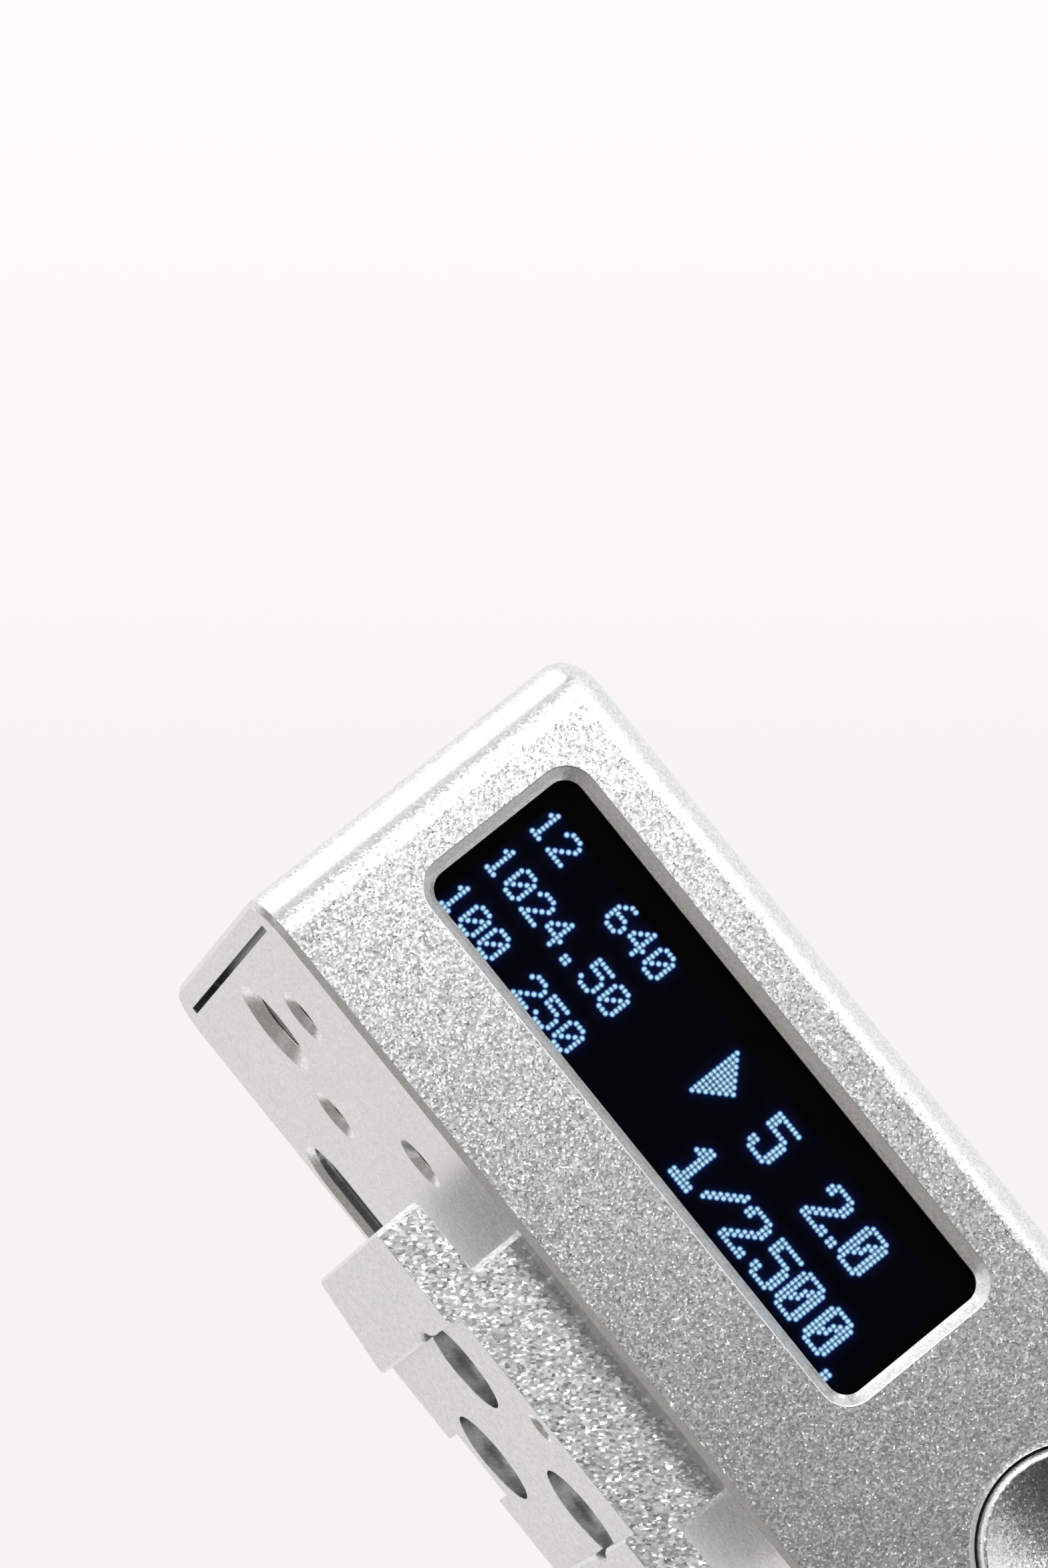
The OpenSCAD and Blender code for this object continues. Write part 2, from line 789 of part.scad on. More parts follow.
module charge_socket_shell() {
    shell_r = shell_w / 2 - shell_round;
    color(bright_metal) translate([socket_cx, socket_cy, socket_z0]) difference() {
        linear_extrude(socket_depth) rounded(shell_l, shell_w, shell_r);
        translate([0, 0, -over]) linear_extrude(over + socket_depth - socket_back_t)
            rounded(shell_l - 2 * shell_t, shell_w - 2 * shell_t, shell_r - shell_t);
    }
}

module charge_socket_tongue() {
    color(black_plastic) translate([socket_cx, socket_cy, socket_z0])
        span([-tongue_l / 2, -tongue_t / 2, tongue_recess],
             [tongue_l / 2, tongue_t / 2, socket_depth - socket_back_t]);
}

module photodiode() {
    color([0.15, 0.1, 0.12]) translate([sensor_x, rear_board_back, axis_z])
        span([-1.3, 0, -1.3], [1.3, 0.9, 1.3]);
}

module sensor_tube() {
    color(black_plastic) translate([sensor_x, 0, axis_z]) difference() {
        rod_y(lens_r, rear_board_back, filter_y);
        rod_y(lens_r - 0.9, rear_board_back - over, filter_y + over);
    }
}

module sensor_filter() {
    color([0.35, 0.6, 0.55, 0.6]) translate([sensor_x, 0, axis_z])
        rod_y(lens_r, filter_y, lens_y);
}

module sensor_window() {
    color([0.8, 0.85, 0.88, 0.5]) translate([sensor_x, 0, axis_z])
        rod_y(lens_r, lens_y, lens_y + lens_t);
}

module sensor_bezel() {
    color(black_plastic) translate([sensor_x, 0, axis_z]) difference() {
        union() {
            rod_y(sensor_r - bezel_gap, cover_y - merge, rear_y);
            rod_y(sensor_r + bezel_flange, bezel_back, cover_y);
        }
        rod_y(lens_r + bezel_gap, bezel_back - over, lens_y + lens_t);
        rod_y(mouth_r, lens_y, rear_y + over);
        mirror([0, 1, 0]) cone_y(mouth_r + bezel_lip + over, -rear_y - over, -rear_y + bezel_lip);
    }
}

// Cross-section of the foot, x across and y up, without its screw holes
module foot_section() {
    c = foot_chamfer;
    half = foot_w / 2;
    neck = neck_w / 2;
    channel = channel_w / 2;
    right = [
        [channel, channel_depth], [channel, c], [channel + c, 0], [half - c, 0], [half, c],
        [half, flange_t - c], [half - c, flange_t], [neck, flange_t], [neck, base_z]
    ];
    left = [for (i = [len(right) - 1:-1:0]) [-right[i][0], right[i][1]]];
    polygon(concat(right, left));
}

// The corner that the lead-in taper takes off the flange, seen from above
module lead_in_corner() {
    slope = lead_in_l / lead_in_w;
    polygon([
        [over, -lead_in_l - slope * over], [over, over],
        [-lead_in_w, over], [-lead_in_w, 0]
    ]);
}

// The two front corners that the chamfer takes off a block of this width, seen from above
module front_corners(width) {
    reach = corner_chamfer + over;
    for (side = [-1, 1])
        translate([side * width / 2, 0])
            polygon([[-side * reach, -over], [side * over, -over], [side * over, reach]]);
}

module shoe_foot() {
    mouth_r = 0.62;
    pin_r = 0.45;
    color(aluminium) difference() {
        translate([foot_x, foot_y1, 0]) rotate([90, 0, 0]) linear_extrude(foot_l) foot_section();
        for (p = screw_places(foot_x)) translate([p[0], p[1], -over]) {
            cylinder(r = clear_r, h = base_z + 2 * over);
            cylinder(r = counterbore_r, h = over + counterbore_z);
        }
        translate([foot_x, foot_y1, -over]) linear_extrude(flange_t + over) {
            translate([foot_w / 2, 0]) lead_in_corner();
            translate([-foot_w / 2, 0]) mirror([1, 0]) lead_in_corner();
        }
        translate([foot_x, foot_y0, -over])
            linear_extrude(flange_t + 2 * over) front_corners(foot_w);
        translate([foot_x, foot_y0, flange_t])
            linear_extrude(neck_h + over) front_corners(neck_w);
        span([foot_x - notch_w / 2, foot_y1 - notch_l, -over],
             [foot_x + notch_w / 2, foot_y1 + over, flange_t]);
        translate([foot_x, pin_hole_y, channel_depth - over]) {
            cylinder(r = pin_r, h = over + 1.4);
            cylinder(r1 = mouth_r + over, r2 = pin_r, h = over + mouth_r - pin_r);
        }
    }
}

module foot_screws() {
    shank_top = in_z0 - 0.05;
    color(steel) for (p = screw_places(foot_x))
        translate([p[0], p[1], counterbore_z - foot_head_t]) difference() {
            union() {
                cylinder(r = foot_head_r, h = foot_head_t);
                cylinder(r = tap_r - thread_gap, h = shank_top - counterbore_z + foot_head_t);
            }
            hex_recess(0.85, 0.7);
        }
}

housing();
rear_cover();
rear_cover_screws();
window_glass();
window_adhesive();
display_panel();
display_flex();
display_connector();
display_pad();
button_cap();
button_gasket();
switch_body();
switch_plunger();
main_board();
main_chip();
rear_board();
board_screws();
link_flex();
link_connectors();
carrier();
carrier_screws();
battery_cell();
battery_tape();
battery_leads();
charge_socket_shell();
charge_socket_tongue();
photodiode();
sensor_tube();
sensor_filter();
sensor_window();
sensor_bezel();
shoe_foot();
foot_screws();
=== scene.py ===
# Shoe-mount exposure meter: finishes, lit readout, studio and camera.
import json
import math

import bmesh
import bpy
from mathutils import Matrix, Vector


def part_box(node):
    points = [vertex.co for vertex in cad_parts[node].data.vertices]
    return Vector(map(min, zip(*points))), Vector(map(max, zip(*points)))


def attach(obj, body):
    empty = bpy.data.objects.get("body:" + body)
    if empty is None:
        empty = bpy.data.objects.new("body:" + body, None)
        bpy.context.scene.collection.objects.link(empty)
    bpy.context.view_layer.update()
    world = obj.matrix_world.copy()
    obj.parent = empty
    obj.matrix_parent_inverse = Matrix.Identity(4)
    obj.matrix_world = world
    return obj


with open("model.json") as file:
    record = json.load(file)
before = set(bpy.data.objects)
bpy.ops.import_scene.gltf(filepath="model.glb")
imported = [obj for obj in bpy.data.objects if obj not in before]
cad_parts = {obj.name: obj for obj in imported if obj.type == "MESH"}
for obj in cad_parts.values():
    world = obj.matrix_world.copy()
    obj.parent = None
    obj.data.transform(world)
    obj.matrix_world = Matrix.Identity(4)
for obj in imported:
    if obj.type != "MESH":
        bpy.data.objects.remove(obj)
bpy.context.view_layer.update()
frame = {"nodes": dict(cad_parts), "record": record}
NODES = frame["nodes"]
MM = 0.001
scene = bpy.context.scene

# ---------------------------------------------------------------- places

HOUSING_LOW, HOUSING_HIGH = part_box("housing")
GLASS_LOW, GLASS_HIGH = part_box("window_glass")
WINDOW = (GLASS_LOW + GLASS_HIGH) / 2
PANEL_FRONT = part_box("display_panel")[0].y
# Half the length and height of the window's bevelled mouth, its corner radius and its depth
WINDOW_HALF = (12.17 * MM, 3.77 * MM)
WINDOW_RADIUS = 1.2 * MM
WINDOW_DEPTH = 1.0 * MM
# How deep blasting reaches into a hole, from the ends, the front and rear, and the top and base
BLASTED = {"X": 0.25 * MM, "Y": 0.25 * MM, "Z": 0.02 * MM}
# The foot's counterbores and its pin hole: x, y and radius in millimetres
BORES = ((-3.70, -5.80, 1.93), (3.00, -5.80, 1.93), (-0.35, 1.30, 1.93), (-0.35, -9.95, 0.63))

# ---------------------------------------------------------------- camera

EYE = Vector((-7.59, -341.24, -59.64)) * MM
AIM = Vector((-18.38, -12.50, 14.04)) * MM
ROLL = math.radians(51.46)
LENS = 219.04
SENSOR = 36.0
NEAR_CLIP = 0.01

camera = bpy.data.objects.new("camera", bpy.data.cameras.new("camera"))
scene.collection.objects.link(camera)
scene.camera = camera
camera.data.lens = LENS
camera.data.sensor_width = SENSOR
camera.data.clip_start = NEAR_CLIP
camera.location = EYE
camera.rotation_mode = "QUATERNION"
level = (AIM - EYE).to_track_quat("-Z", "Y")
camera.rotation_quaternion = level @ Matrix.Rotation(ROLL, 3, "Z").to_quaternion()

# ---------------------------------------------------------------- node helpers


def put(tree, kind, inputs=None, **settings):
    """Adds a node. inputs are values or other nodes' sockets, by socket name or number."""
    made = tree.nodes.new(kind)
    for name, value in settings.items():
        setattr(made, name, value)
    for key, value in (inputs or {}).items():
        if isinstance(value, bpy.types.NodeSocket):
            tree.links.new(value, made.inputs[key])
        else:
            made.inputs[key].default_value = value
    return made


def maths(tree, operation, *values, clamp=False):
    """A Math node's result."""
    made = put(tree, "ShaderNodeMath", dict(enumerate(values)), operation=operation)
    made.use_clamp = clamp
    return made.outputs[0]


def vector_maths(tree, operation, *values):
    """A Vector Math node's result."""
    made = put(tree, "ShaderNodeVectorMath", dict(enumerate(values)), operation=operation)
    gives_number = operation in ("LENGTH", "DOT_PRODUCT", "DISTANCE")
    return made.outputs["Value" if gives_number else "Vector"]


def smooth_step(tree, value, start, end):
    """0 below start, 1 above end, smooth between. start may lie above end."""
    made = put(tree, "ShaderNodeMapRange", {0: value, 1: start, 2: end},
               interpolation_type="SMOOTHSTEP")
    return made.outputs[0]


def ramp(tree, value, low, high, start=0.0, end=1.0):
    """low at start and high at end, straight between and level outside."""
    made = put(tree, "ShaderNodeMapRange", {0: value, 1: start, 2: end, 3: low, 4: high})
    return made.outputs[0]


def scaled(tree, vector, factor):
    """A vector times a number."""
    made = put(tree, "ShaderNodeVectorMath", {0: vector, "Scale": factor}, operation="SCALE")
    return made.outputs["Vector"]


def split(tree, vector):
    """The X, Y and Z of a vector."""
    return put(tree, "ShaderNodeSeparateXYZ", {0: vector}).outputs


def noise(tree, point, scale, detail):
    """Soft noise from 0 to 1."""
    made = put(tree, "ShaderNodeTexNoise", {"Vector": point, "Scale": scale, "Detail": detail})
    return made.outputs["Fac"]


def feed(tree, shader, values):
    """Sets or links a shader's inputs, by name."""
    for name, value in values.items():
        if isinstance(value, bpy.types.NodeSocket):
            tree.links.new(value, shader.inputs[name])
        else:
            shader.inputs[name].default_value = value


def mix_value(tree, factor, a, b):
    """A plain mix of two numbers."""
    made = put(tree, "ShaderNodeMix", {"Factor": factor, "A": a, "B": b}, data_type="FLOAT")
    return made.outputs["Result"]


def mix_colour(tree, factor, a, b, blend="MIX"):
    """A mix of two colours."""
    made = tree.nodes.new("ShaderNodeMix")
    made.data_type = "RGBA"
    made.blend_type = blend
    for number, value in ((0, factor), (6, a), (7, b)):
        if isinstance(value, bpy.types.NodeSocket):
            tree.links.new(value, made.inputs[number])
        else:
            made.inputs[number].default_value = value
    return made.outputs[2]


def new_material(name):
    """A material with one Principled shader, and the point on the surface in metres."""
    material = bpy.data.materials.new(name)
    material.use_nodes = True
    tree = material.node_tree
    shader = tree.nodes["Principled BSDF"]
    point = put(tree, "ShaderNodeTexCoord").outputs["Object"]
    return material, tree, shader, point


def stretched(tree, point, way, times):
    """The point, squeezed along a direction so that a pattern on it comes out longer that way."""
    along = vector_maths(tree, "DOT_PRODUCT", point, way)
    return vector_maths(tree, "ADD", point,
                        scaled(tree, way, maths(tree, "MULTIPLY", along, 1 / times - 1)))


def grain_normal(tree, point, grain, tilt, base_normal):
    """A normal that leans at random from grain to grain, as blasting leaves it, and a tint."""
    cells = put(tree, "ShaderNodeTexVoronoi", {"Vector": point, "Scale": 1 / grain}, feature="F1")
    tint = cells.outputs["Color"]
    offset = vector_maths(tree, "SUBTRACT", tint, (0.5, 0.5, 0.5))
    luck = put(tree, "ShaderNodeSeparateColor", {0: tint}).outputs["Green"]
    amount = maths(tree, "MULTIPLY", tilt, ramp(tree, luck, 1.0, STRAY_LEAN, STRAY_START))
    leaning = vector_maths(tree, "ADD", base_normal, scaled(tree, offset, amount))
    return vector_maths(tree, "NORMALIZE", leaning), tint


def inside_rounded_box(tree, point, centre, half, radius):
    """1 inside a box with round corners in the XZ plane, 0 outside. Sizes are in metres."""
    local = vector_maths(tree, "SUBTRACT", point, centre)
    local = vector_maths(tree, "ABSOLUTE", local)
    local = vector_maths(tree, "SUBTRACT", local, (half[0] - radius, 0.0, half[1] - radius))
    local = vector_maths(tree, "MULTIPLY", local, (1.0, 0.0, 1.0))
    local = vector_maths(tree, "MAXIMUM", local, (0.0, 0.0, 0.0))
    return maths(tree, "LESS_THAN", vector_maths(tree, "LENGTH", local), radius)


# ---------------------------------------------------------------- finishes


# The share of the grains that lean further, from this luck on, and how many times further
STRAY_START = 0.5
STRAY_LEAN = 2.6
# The direction and the lengthening of the blasted grain
STREAK_WAY = (0.62, 0.0, 0.785)
# How far the painted glints and the clouds darken and lighten the metal, and how much of the
# grain's random tint it takes as painted coloured glints. The painted glints make each grain
# lighter or darker at random to stand in for sparkle; the clouds are random tone
GLINT_SHARE = 0.9
GLINT_TONES = (0.84, 1.14)
CLOUD_SCALE = 900.0
CLOUD_TONES = (0.97, 1.02)
GLINT_TINT_SHARE = 0.05
# How far a plain finish varies in shade and in roughness
PLAIN_SHADES = (0.85, 1.12)
PLAIN_ROUGHNESS = (0.85, 1.15)


def blasted_aluminium(name, tone, grain, tilt, roughness, streak=1.0, places=(), edge=0.04 * MM):
    """Bead-blasted, clear anodised aluminium with soft edges.

    places holds functions that mark smoother spots, each with its roughness, its share of the
    grain's lean and the softness of its edges.
    """
    material, tree, shader, point = new_material(name)
    lean = tilt
    for mark, place_roughness, share, place_edge in places:
        spot = mark(tree, point)
        roughness = mix_value(tree, spot, roughness, place_roughness)
        lean = mix_value(tree, spot, lean, tilt * share)
        edge = mix_value(tree, spot, edge, place_edge)
    soft = put(tree, "ShaderNodeBevel", {"Radius": edge}, samples=4).outputs["Normal"]
    spread = stretched(tree, point, STREAK_WAY, streak)
    normal, tint = grain_normal(tree, spread, grain, lean, soft)
    cloud = ramp(tree, noise(tree, point, CLOUD_SCALE, 2.0), *(tone * part for part in CLOUD_TONES))
    luck = put(tree, "ShaderNodeSeparateColor", {0: tint}).outputs["Red"]
    # Painted glints: each grain's colour is lightened or darkened at random to stand in for the
    # sparkle of the blasted metal, and a trace of the grain's tint is mixed in as painted coloured
    # glints
    glints = mix_value(tree, GLINT_SHARE, 1.0, ramp(tree, luck, *GLINT_TONES))
    colour = mix_colour(tree, GLINT_TINT_SHARE, maths(tree, "MULTIPLY", cloud, glints), tint)
    feed(tree, shader, {"Base Color": colour, "Roughness": roughness, "Normal": normal,
                        "Metallic": 1.0})
    return material


def window_bevel(tree, point):
    """1 on the bevel round the window, which is cut after blasting, 0 elsewhere."""
    centre = (WINDOW.x, 0.0, WINDOW.z)
    window = inside_rounded_box(tree, point, centre, WINDOW_HALF, WINDOW_RADIUS)
    front = maths(tree, "LESS_THAN", split(tree, point)["Y"], HOUSING_LOW.y + WINDOW_DEPTH)
    return maths(tree, "MULTIPLY", window, front)


def inner_walls(tree, point):
    """1 inside the housing and on the walls of its holes, which blasting doesn't reach."""
    middle = (HOUSING_LOW + HOUSING_HIGH) / 2
    half = (HOUSING_HIGH - HOUSING_LOW) / 2
    away = vector_maths(tree, "ABSOLUTE", vector_maths(tree, "SUBTRACT", point, tuple(middle)))
    axes = split(tree, away)
    inside = 1.0
    for axis, depth in BLASTED.items():
        near = maths(tree, "LESS_THAN", axes[axis], getattr(half, axis.lower()) - depth)
        inside = maths(tree, "MULTIPLY", inside, near)
    return inside


def foot_bores(tree, point):
    """1 in the foot's counterbores and its pin hole, 0 elsewhere."""
    axes = split(tree, point)
    flat = put(tree, "ShaderNodeCombineXYZ", {"X": axes["X"], "Y": axes["Y"]}).outputs[0]
    marked = 0.0
    for x, y, radius in BORES:
        away = vector_maths(tree, "DISTANCE", flat, (x * MM, y * MM, 0.0))
        marked = maths(tree, "MAXIMUM", marked, maths(tree, "LESS_THAN", away, radius * MM))
    return marked


def plain(name, colour, roughness, metallic=0.0, bump=0.0, scale=3000.0, specular=0.5):
    """A simple moulded, stamped or printed finish with a fine grain."""
    material, tree, shader, point = new_material(name)
    fine = noise(tree, point, scale, 3.0)
    shade = ramp(tree, fine, *PLAIN_SHADES)
    feed(tree, shader, {
        "Base Color": mix_colour(tree, 1.0, (*colour, 1.0), shade, "MULTIPLY"),
        "Roughness": ramp(tree, fine, *(roughness * part for part in PLAIN_ROUGHNESS)),
        "Metallic": metallic,
        "Specular IOR Level": specular,
    })
    if bump:
        relief = put(tree, "ShaderNodeBump", {"Height": fine, "Distance": bump})
        tree.links.new(relief.outputs["Normal"], shader.inputs["Normal"])
    return material


def tinted_glass(name, colour):
    """Clear glass with a slight tint and a trace of haze."""
    material, tree, shader, point = new_material(name)
    feed(tree, shader, {
        "Base Color": (*colour, 1.0),
        "Roughness": ramp(tree, noise(tree, point, 2500.0, 1.0), 0.0, 0.03),
        "Transmission Weight": 1.0,
        "IOR": 1.46,
    })
    return material


def lit(name, stops):
    """A black face that shines in the colour of a ramp along its own glow attribute."""
    material, tree, shader, point = new_material(name)
    glow = put(tree, "ShaderNodeAttribute", attribute_name="glow").outputs["Fac"]
    colours = put(tree, "ShaderNodeValToRGB", {"Fac": glow})
    places = colours.color_ramp.elements
    while len(places) < len(stops):
        places.new(0.5)
    for place, (position, colour) in zip(places, stops):
        place.position = position
        place.color = (*colour, 1.0)
    feed(tree, shader, {
        "Base Color": (0.002, 0.002, 0.003, 1.0),
        "Roughness": 0.3,
        "Specular IOR Level": 0.0,
        "Emission Strength": 1.0,
        "Emission Color": colours.outputs["Color"],
    })
    return material


FINISHES = {
    "blasted_aluminium": blasted_aluminium(
        "blasted_aluminium", 0.86, 0.07 * MM, 0.12, 0.38, streak=1.2,
        places=((window_bevel, 0.33, 0.5, 0.09 * MM), (inner_walls, 0.22, 0.1, 0.04 * MM))),
    "foot_aluminium": blasted_aluminium(
        "foot_aluminium", 0.94, 0.085 * MM, 0.19, 0.44, streak=1.7,
        places=((foot_bores, 0.20, 0.1, 0.04 * MM),)),
    "button_aluminium": blasted_aluminium("button_aluminium", 0.95, 0.06 * MM, 0.10, 0.30),
    "screw_steel": plain("screw_steel", (0.42, 0.42, 0.43), 0.35, metallic=1.0),
    "window_glass": tinted_glass("window_glass", (0.97, 0.98, 1.0)),
    "display_glass": plain("display_glass", (0.002, 0.002, 0.003), 0.3, specular=0.0),
    "black_adhesive": plain("black_adhesive", (0.01, 0.01, 0.01), 0.6),
    "amber_film": plain("amber_film", (0.55, 0.24, 0.03), 0.25),
    "ivory_plastic": plain("ivory_plastic", (0.75, 0.70, 0.58), 0.5),
    "foam": plain("foam", (0.03, 0.03, 0.03), 0.9, bump=0.02 * MM),
    "gasket_rubber": plain("gasket_rubber", (0.012, 0.012, 0.012), 0.55),
    "switch_metal": plain("switch_metal", (0.55, 0.55, 0.56), 0.3, metallic=1.0),
    "black_plastic": plain("black_plastic", (0.012, 0.012, 0.014), 0.45, bump=0.004 * MM),
    "board_green": plain("board_green", (0.01, 0.12, 0.05), 0.3),
    "cell_foil": plain("cell_foil", (0.7, 0.71, 0.73), 0.3, metallic=1.0),
    "tape_white": plain("tape_white", (0.8, 0.8, 0.76), 0.7),
    "lead_red": plain("lead_red", (0.5, 0.02, 0.015), 0.35),
    "socket_steel": plain("socket_steel", (0.62, 0.62, 0.63), 0.28, metallic=1.0),
    "filter_glass": tinted_glass("filter_glass", (0.35, 0.62, 0.56)),
    "sensor_glass": plain("sensor_glass", (0.8, 0.84, 0.86), 0.35),
}

for entry in frame["record"]["subparts"]:
    NODES[entry["node"]].data.materials.clear()
    NODES[entry["node"]].data.materials.append(FINISHES[entry["material_slot"]])

# ---------------------------------------------------------------- mesh helpers


def piece(name, mesh, material, body):
    """Turns a bmesh into a piece that rides on a body."""
    data = bpy.data.meshes.new(name)
    mesh.to_mesh(data)
    mesh.free()
    data.materials.append(material)
    made = bpy.data.objects.new(name, data)
    scene.collection.objects.link(made)
    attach(made, body)
    return made


# ---------------------------------------------------------------- readout

DOT_PITCH = 0.175 * MM
DOT_RADIUS = 0.14 * MM
DOT_SIDES = 10
# Share of the radius and glow of each ring of a dot
DOT_RINGS = ((0.43, 0.57), (0.71, 0.29), (1.0, 0.0))
DOT_COLOURS = (
    (0.0, (0.003, 0.010, 0.060)), (0.14, (0.014, 0.044, 0.180)), (0.29, (0.11, 0.25, 0.50)),
    (0.43, (0.29, 0.56, 0.80)), (0.57, (0.48, 0.80, 0.95)), (1.0, (0.80, 1.0, 1.0)),
)
# The haze round a dot fades with its distance in dots, and reaches so many of them
HAZE_FADE = 0.5
HAZE_REACH = 3
HAZE_LEVEL = 0.45
HAZE_COLOURS = (
    (0.0, (0.0, 0.0003, 0.0018)), (0.2, (0.002, 0.005, 0.030)), (1.0, (0.010, 0.030, 0.170)),
)
# How far the dots and the haze stand in front of the panel
DOTS_PROUD = 0.010 * MM
HAZE_PROUD = 0.005 * MM
COLUMNS, ROWS = 128, 32
FIRST_DOT = Vector((WINDOW.x - 11.05 * MM, PANEL_FRONT, WINDOW.z + 2.09 * MM))

SMALL = {
    "0": ".###. #...# #..## #.#.# ##..# #...# .###.",
    "1": "..#.. .##.. ..#.. ..#.. ..#.. ..#.. .###.",
    "2": ".###. #...# ....# ...#. ..#.. .#... #####",
    "4": "...#. ..##. .#.#. #..#. ##### ...#. ...#.",
    "5": "##### #.... ####. ....# ....# #...# .###.",
    "6": "..##. .#... #.... ####. #...# #...# .###.",
    ".": "..... ..... ..... ..... ..... .##.. .##..",
}
LARGE = {
    "0": ".#####. ##...## ##..### ##.#### ##.#.## ####.## ###..## ##...## ##...## .#####.",
    "1": "...##.. ..###.. .####.. ...##.. ...##.. ...##.. ...##.. ...##.. .###### .######",
    "2": ".#####. ##...## ##...## .....## ....##. ...##.. ..##... .##.... ##...## #######",
    "5": "####### ##..... ##..... ######. .....## .....## .....## ##...## ##...## .#####.",
    "/": "......# .....## ....##. ...##.. ..##... .##.... ##..... #...... ....... .......",
    ".": "....... ....... ....... ....... ....... ....... ....... ....... ##..... ##.....",
}


def glyph_dots(font, text, column, row, advance):
    """The dots of a line of digits."""
    dots = set()
    for place, letter in enumerate(text):
        if letter == " ":
            continue
        for down, line in enumerate(font[letter].split()):
            for across, mark in enumerate(line):
                if mark == "#":
                    dots.add((column + round(place * advance) + across, row + down))
    return dots


def pointer_dots(column, row, half):
    """A solid triangle that points right."""
    return {
        (column + across, row + half + down)
        for down in range(-half, half + 1)
        for across in range(half + 1 - abs(down))
    }


# Font, text, first column, first row and columns from digit to digit
LINES = (
    (SMALL, "12  640", 0, 0, 6),
    (SMALL, "1024.50", 0, 12, 6),
    (SMALL, "100 250", 0, 24, 6),
    (LARGE, "5", 77, 3, 0),
    (LARGE, "2", 95, 3, 0),
    (LARGE, ".", 103, 3, 0),
    (LARGE, "0", 106, 3, 0),
    (LARGE, "1/2500", 71, 19, 8.6),
    (LARGE, ".", 123, 21, 0),
)
LIT = pointer_dots(62, 2, 6).union(*(glyph_dots(*line) for line in LINES))


def dot_centre(column, row, proud):
    """The middle of a dot, so far in front of the panel."""
    return FIRST_DOT + Vector((column * DOT_PITCH, -proud, -row * DOT_PITCH))


def make_dots():
    """Round dots, brightest in the middle."""
    mesh = bmesh.new()
    layer = mesh.verts.layers.float.new("glow")
    turns = [2 * math.pi * k / DOT_SIDES for k in range(DOT_SIDES)]
    for column, row in sorted(LIT):
        centre = dot_centre(column, row, DOTS_PROUD)
        middle = mesh.verts.new(centre)
        middle[layer] = 1.0
        inner = None
        for reach, glow in DOT_RINGS:
            ring = []
            for turn in turns:
                offset = Vector((math.cos(turn), 0.0, math.sin(turn))) * DOT_RADIUS * reach
                vert = mesh.verts.new(centre + offset)
                vert[layer] = glow
                ring.append(vert)
            for k in range(DOT_SIDES):
                n = (k + 1) % DOT_SIDES
                if inner:
                    mesh.faces.new((inner[k], ring[k], ring[n], inner[n]))
                else:
                    mesh.faces.new((middle, ring[k], ring[n]))
            inner = ring
    mesh.normal_update()
    for face in mesh.faces:
        if face.normal.y > 0:
            face.normal_flip()
    return piece("readout_dots", mesh, lit("dot_light", DOT_COLOURS), "meter")


def make_glow():
    """The display's dark face, with the blue haze that the lit dots throw round themselves."""
    mesh = bmesh.new()
    middle = dot_centre((COLUMNS - 1) / 2, (ROWS - 1) / 2, HAZE_PROUD)
    facing = Matrix.Translation(middle) @ Matrix.Rotation(math.pi / 2, 4, "X")
    half = Matrix.Diagonal((COLUMNS * DOT_PITCH / 2, ROWS * DOT_PITCH / 2, 1.0, 1.0))
    bmesh.ops.create_grid(mesh, x_segments=COLUMNS * 2, y_segments=ROWS * 2, size=1.0,
                          matrix=facing @ half)
    layer = mesh.verts.layers.float.new("glow")
    for vert in mesh.verts:
        across = (vert.co.x - FIRST_DOT.x) / DOT_PITCH
        down = (FIRST_DOT.z - vert.co.z) / DOT_PITCH
        total = 0.0
        for column in range(round(across) - HAZE_REACH, round(across) + HAZE_REACH + 1):
            for row in range(round(down) - HAZE_REACH, round(down) + HAZE_REACH + 1):
                if (column, row) in LIT:
                    away = math.hypot(across - column, down - row)
                    total += math.exp(-away / HAZE_FADE)
        vert[layer] = min(1.0, total * HAZE_LEVEL)
    return piece("readout_glow", mesh, lit("dot_glow", HAZE_COLOURS), "meter")


make_dots()
make_glow()

# ---------------------------------------------------------------- studio

scene.view_settings.view_transform = "Standard"

# The backdrop, from its lower colour to its upper one along the picture's height
BACKDROP = (0.930, 0.896, 0.892, 1.0)
BACKDROP_TOP = (1.0, 0.985, 0.965, 1.0)
PICTURE_UP = (-0.777, -0.162, 0.608)
BACKDROP_RISE = (-0.02, 0.085)
# The room's sides: direction, where the side starts, where it is full, and its colour
ROOM_FRONT = (0.012, 0.012, 0.012, 1.0)
ROOM_SIDES = (
    ((1.0, 0.0, 0.0), 0.70, 0.97, (0.580, 0.580, 0.580, 1.0)),
    ((0.0, 1.0, 0.0), -0.15, 0.35, (0.940, 0.925, 0.915, 1.0)),
    ((-1.0, 0.0, 0.0), 0.78, 0.90, (1.350, 1.350, 1.350, 1.0)),
    ((0.0, 0.0, 1.0), 0.34, 0.68, (0.950, 0.950, 0.950, 1.0)),
    ((0.0, 0.0, -1.0), 0.40, 0.80, (0.330, 0.310, 0.290, 1.0)),
    ((-0.62, -0.55, -0.55), 0.75, 0.92, (0.900, 0.900, 0.900, 1.0)),
)


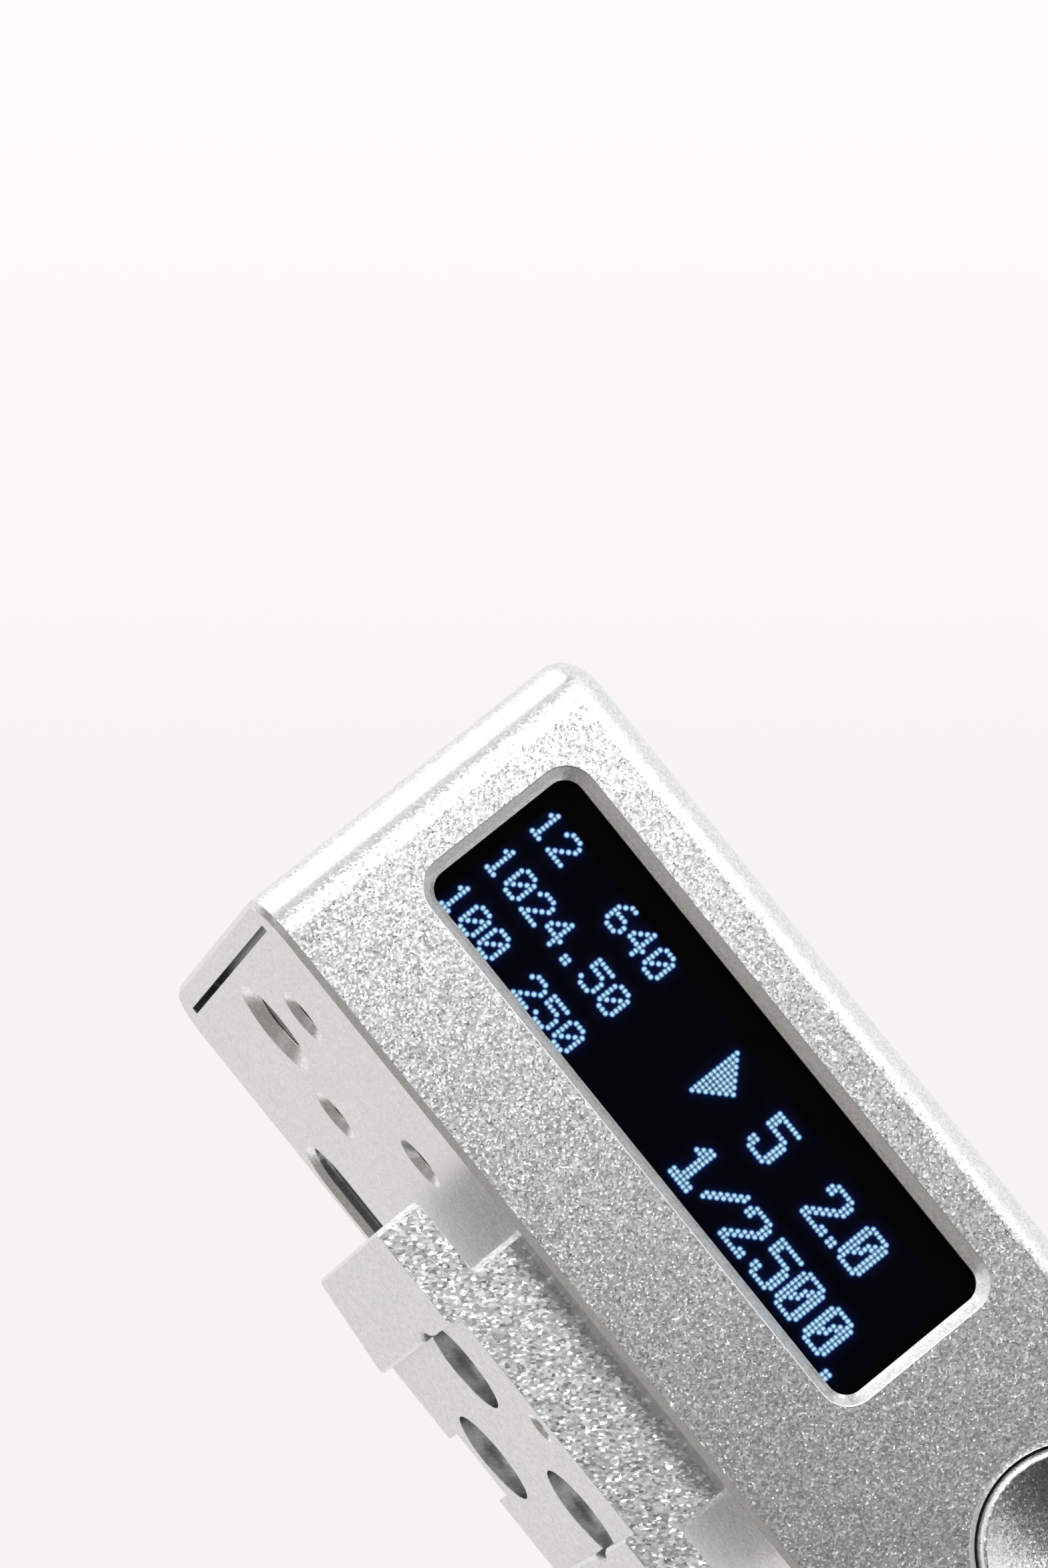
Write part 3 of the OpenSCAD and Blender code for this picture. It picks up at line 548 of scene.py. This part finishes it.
def make_world():
    """A pale backdrop, and the room that metal and glass reflect.

    The room is dark in front, bright overhead, to the left and behind, and grey below.
    """
    world = bpy.data.worlds.new("studio")
    scene.world = world
    world.use_nodes = True
    tree = world.node_tree
    tree.nodes.clear()
    way = put(tree, "ShaderNodeTexCoord").outputs["Generated"]
    rays = put(tree, "ShaderNodeLightPath").outputs
    room = ROOM_FRONT
    for side, start, full, colour in ROOM_SIDES:
        toward = vector_maths(tree, "DOT_PRODUCT", way, side)
        room = mix_colour(tree, smooth_step(tree, toward, start, full), room, colour)
    height = vector_maths(tree, "DOT_PRODUCT", way, PICTURE_UP)
    backdrop = mix_colour(tree, smooth_step(tree, height, *BACKDROP_RISE), BACKDROP, BACKDROP_TOP)
    rearward = maths(tree, "GREATER_THAN", split(tree, way)["Y"], 0.0)
    through = maths(tree, "MULTIPLY", rays["Is Transmission Ray"], rearward)
    seen = maths(tree, "MAXIMUM", rays["Is Camera Ray"], through)
    colour = mix_colour(tree, seen, room, backdrop)
    back = put(tree, "ShaderNodeBackground", {"Color": colour, "Strength": 1.0})
    put(tree, "ShaderNodeOutputWorld", {"Surface": back.outputs[0]})


def make_lamp(name, place, aim, size, power, turn=0.0):
    """A soft lamp. place, aim and size are in millimetres, power in watts, turn in degrees."""
    light = bpy.data.lights.new(name, "AREA")
    light.shape = "RECTANGLE"
    light.size = size[0] * MM
    light.size_y = size[1] * MM
    light.energy = power
    lamp = bpy.data.objects.new(name, light)
    scene.collection.objects.link(lamp)
    lamp.location = Vector(place) * MM
    lamp.rotation_mode = "QUATERNION"
    level = (Vector(aim) * MM - lamp.location).to_track_quat("-Z", "Y")
    lamp.rotation_quaternion = level @ Matrix.Rotation(math.radians(turn), 3, "Z").to_quaternion()


FLOOR_RADIUS = 0.4
FLOOR_FADE = (0.25, 0.06)


def make_floor():
    """A pale floor that fades into the backdrop. Seen from below it is clear."""
    mesh = bmesh.new()
    bmesh.ops.create_circle(mesh, cap_ends=True, segments=96, radius=FLOOR_RADIUS)
    data = bpy.data.meshes.new("floor")
    mesh.to_mesh(data)
    mesh.free()
    floor = bpy.data.objects.new("floor", data)
    scene.collection.objects.link(floor)
    material, tree, shader, point = new_material("floor_paper")
    data.materials.append(material)
    feed(tree, shader, {"Base Color": (0.85, 0.83, 0.82, 1.0), "Roughness": 0.9})
    rays = put(tree, "ShaderNodeLightPath").outputs
    under = put(tree, "ShaderNodeNewGeometry").outputs["Backfacing"]
    near = smooth_step(tree, vector_maths(tree, "LENGTH", point), *FLOOR_FADE)
    shown = maths(tree, "MULTIPLY", near, rays["Is Camera Ray"])
    shown = maths(tree, "MULTIPLY", shown, maths(tree, "SUBTRACT", 1.0, under))
    clear = put(tree, "ShaderNodeBsdfTransparent")
    mix = put(tree, "ShaderNodeMixShader", {0: shown, 1: clear.outputs[0], 2: shader.outputs[0]})
    tree.links.new(mix.outputs[0], tree.nodes["Material Output"].inputs["Surface"])


make_world()
make_lamp("key_soft", (-60, -110, 46), (-6, -12, 12), (46, 60), 0.021)
make_lamp("key_turned", (-56, -110, 60), (-6, -12, 12), (46, 60), 0.031, turn=30.0)
make_lamp("top_soft", (-10, -105, 84), (-6, -12, 12), (70, 30), 0.015)
make_floor()
